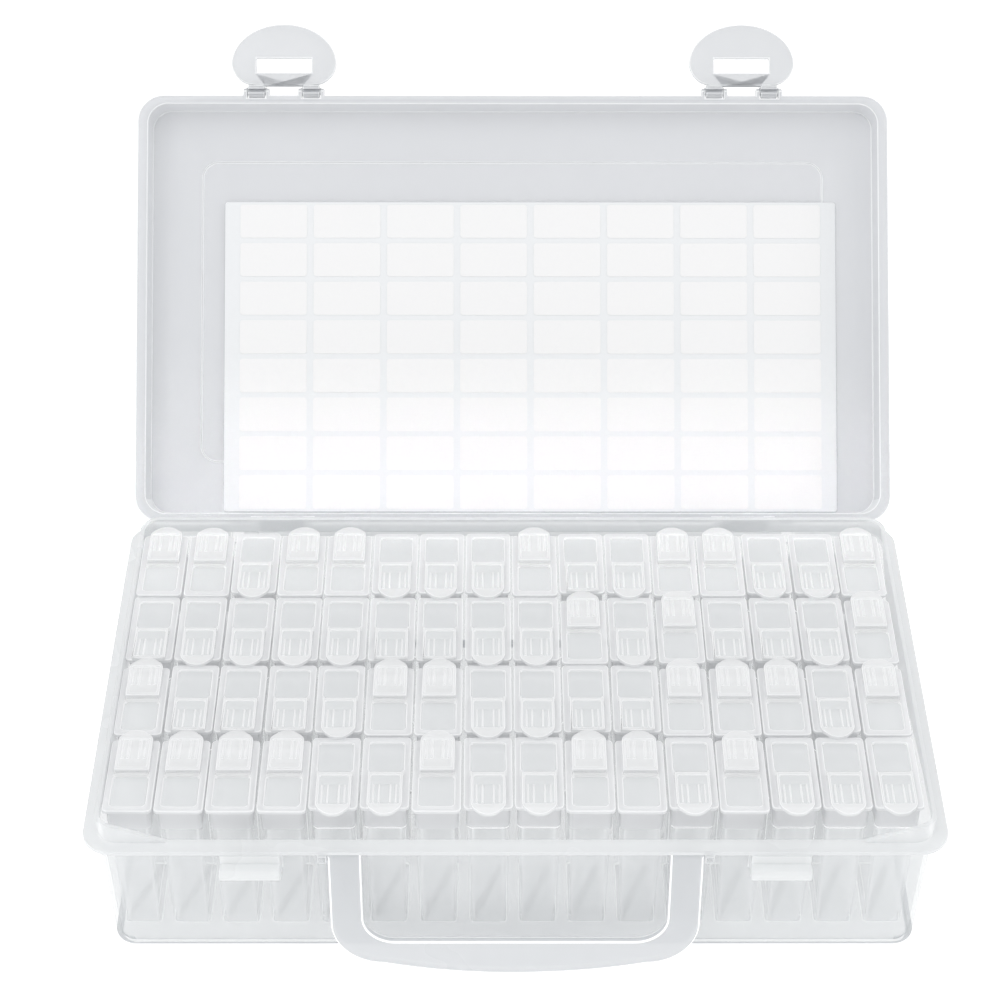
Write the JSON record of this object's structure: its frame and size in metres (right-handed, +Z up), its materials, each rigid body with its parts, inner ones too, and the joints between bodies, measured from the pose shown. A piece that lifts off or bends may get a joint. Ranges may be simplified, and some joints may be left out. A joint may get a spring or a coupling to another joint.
{
  "type": "bead storage case",
  "caption": "Translucent carrying case with a hinged lid, snap latches and a handle, filled with flip-top bead vials and a sheet of blank labels.",
  "frame": {"origin": "centre of the case's footprint, on the surface that it stands on", "axes": "+X to the right seen from the front, +Y from the front to the hinge side, +Z up"},
  "size_m": [0.23, 0.245, 0.1553],
  "materials": {
    "case_plastic": "satin",
    "lid_plastic": "satin",
    "latch_plastic": "satin",
    "handle_plastic": "satin",
    "sheet_backing": "matte",
    "label_paper": "matte",
    "bottle_plastic": "satin",
    "cap_plastic": "satin",
    "flap_plastic": "satin"
  },
  "bodies": {
    "case": {"case_base": "case_plastic"},
    "lid": {"case_lid": "lid_plastic"},
    "latch_left": {"latch_left": "latch_plastic"},
    "latch_right": {"latch_right": "latch_plastic"},
    "handle": {"handle": "handle_plastic"},
    "label_sheet": {"label_sheet": "sheet_backing", "labels": "label_paper"},
    "vials_row_1": {"bottles_row_1": "bottle_plastic", "caps_row_1": "cap_plastic"},
    "flaps_front_row_1": {"flaps_front_row_1": "flap_plastic"},
    "flaps_rear_row_1": {"flaps_rear_row_1": "flap_plastic"},
    "vials_row_2": {"bottles_row_2": "bottle_plastic", "caps_row_2": "cap_plastic"},
    "flaps_front_row_2": {"flaps_front_row_2": "flap_plastic"},
    "flaps_rear_row_2": {"flaps_rear_row_2": "flap_plastic"},
    "vials_row_3": {"bottles_row_3": "bottle_plastic", "caps_row_3": "cap_plastic"},
    "flaps_front_row_3": {"flaps_front_row_3": "flap_plastic"},
    "flaps_rear_row_3": {"flaps_rear_row_3": "flap_plastic"},
    "vials_row_4": {"bottles_row_4": "bottle_plastic", "caps_row_4": "cap_plastic"},
    "flaps_front_row_4": {"flaps_front_row_4": "flap_plastic"},
    "flaps_rear_row_4": {"flaps_rear_row_4": "flap_plastic"}
  },
  "joints": [
    {"name": "lid_hinge", "type": "hinge", "parent": "case", "child": "lid", "pos_m": [0, 0.0664, 0.0443], "axis": [-1, 0, 0], "range_deg": [-133.4, 0]},
    {"name": "latch_left_hinge", "type": "hinge", "parent": "lid", "child": "latch_left", "pos_m": [-0.0703, 0.15966, 0.13957], "axis": [-1, 0, 0], "range_deg": [-90, 0]},
    {"name": "latch_right_hinge", "type": "hinge", "parent": "lid", "child": "latch_right", "pos_m": [0.0703, 0.15966, 0.13957], "axis": [-1, 0, 0], "range_deg": [-90, 0]},
    {"name": "handle_hinge", "type": "hinge", "parent": "case", "child": "handle", "pos_m": [0, -0.06402, 0.0422], "axis": [-1, 0, 0], "range_deg": [-7.5, 87.5]},
    {"name": "label_sheet_lift", "type": "slide", "parent": "lid", "child": "label_sheet", "axis": [0, -0.7266, 0.6871], "range_m": [0, 0.016]},
    {"name": "vials_row_1_lift", "type": "slide", "parent": "case", "child": "vials_row_1", "axis": [0, 0, 1], "range_m": [0, 0.06]},
    {"name": "flaps_front_row_1_hinge", "type": "hinge", "parent": "vials_row_1", "child": "flaps_front_row_1", "pos_m": [0, 0.04215, 0.05075], "axis": [-1, 0, 0], "range_deg": [0, 130]},
    {"name": "flaps_rear_row_1_hinge", "type": "hinge", "parent": "vials_row_1", "child": "flaps_rear_row_1", "pos_m": [0, 0.04215, 0.05075], "axis": [1, 0, 0], "range_deg": [0, 130]},
    {"name": "vials_row_2_lift", "type": "slide", "parent": "case", "child": "vials_row_2", "axis": [0, 0, 1], "range_m": [0, 0.06]},
    {"name": "flaps_front_row_2_hinge", "type": "hinge", "parent": "vials_row_2", "child": "flaps_front_row_2", "pos_m": [0, 0.01405, 0.05075], "axis": [-1, 0, 0], "range_deg": [0, 130]},
    {"name": "flaps_rear_row_2_hinge", "type": "hinge", "parent": "vials_row_2", "child": "flaps_rear_row_2", "pos_m": [0, 0.01405, 0.05075], "axis": [1, 0, 0], "range_deg": [0, 130]},
    {"name": "vials_row_3_lift", "type": "slide", "parent": "case", "child": "vials_row_3", "axis": [0, 0, 1], "range_m": [0, 0.06]},
    {"name": "flaps_front_row_3_hinge", "type": "hinge", "parent": "vials_row_3", "child": "flaps_front_row_3", "pos_m": [0, -0.01405, 0.05075], "axis": [-1, 0, 0], "range_deg": [0, 130]},
    {"name": "flaps_rear_row_3_hinge", "type": "hinge", "parent": "vials_row_3", "child": "flaps_rear_row_3", "pos_m": [0, -0.01405, 0.05075], "axis": [1, 0, 0], "range_deg": [0, 130]},
    {"name": "vials_row_4_lift", "type": "slide", "parent": "case", "child": "vials_row_4", "axis": [0, 0, 1], "range_m": [0, 0.06]},
    {"name": "flaps_front_row_4_hinge", "type": "hinge", "parent": "vials_row_4", "child": "flaps_front_row_4", "pos_m": [0, -0.04215, 0.05075], "axis": [-1, 0, 0], "range_deg": [0, 130]},
    {"name": "flaps_rear_row_4_hinge", "type": "hinge", "parent": "vials_row_4", "child": "flaps_rear_row_4", "pos_m": [0, -0.04215, 0.05075], "axis": [1, 0, 0], "range_deg": [0, 130]}
  ]
}
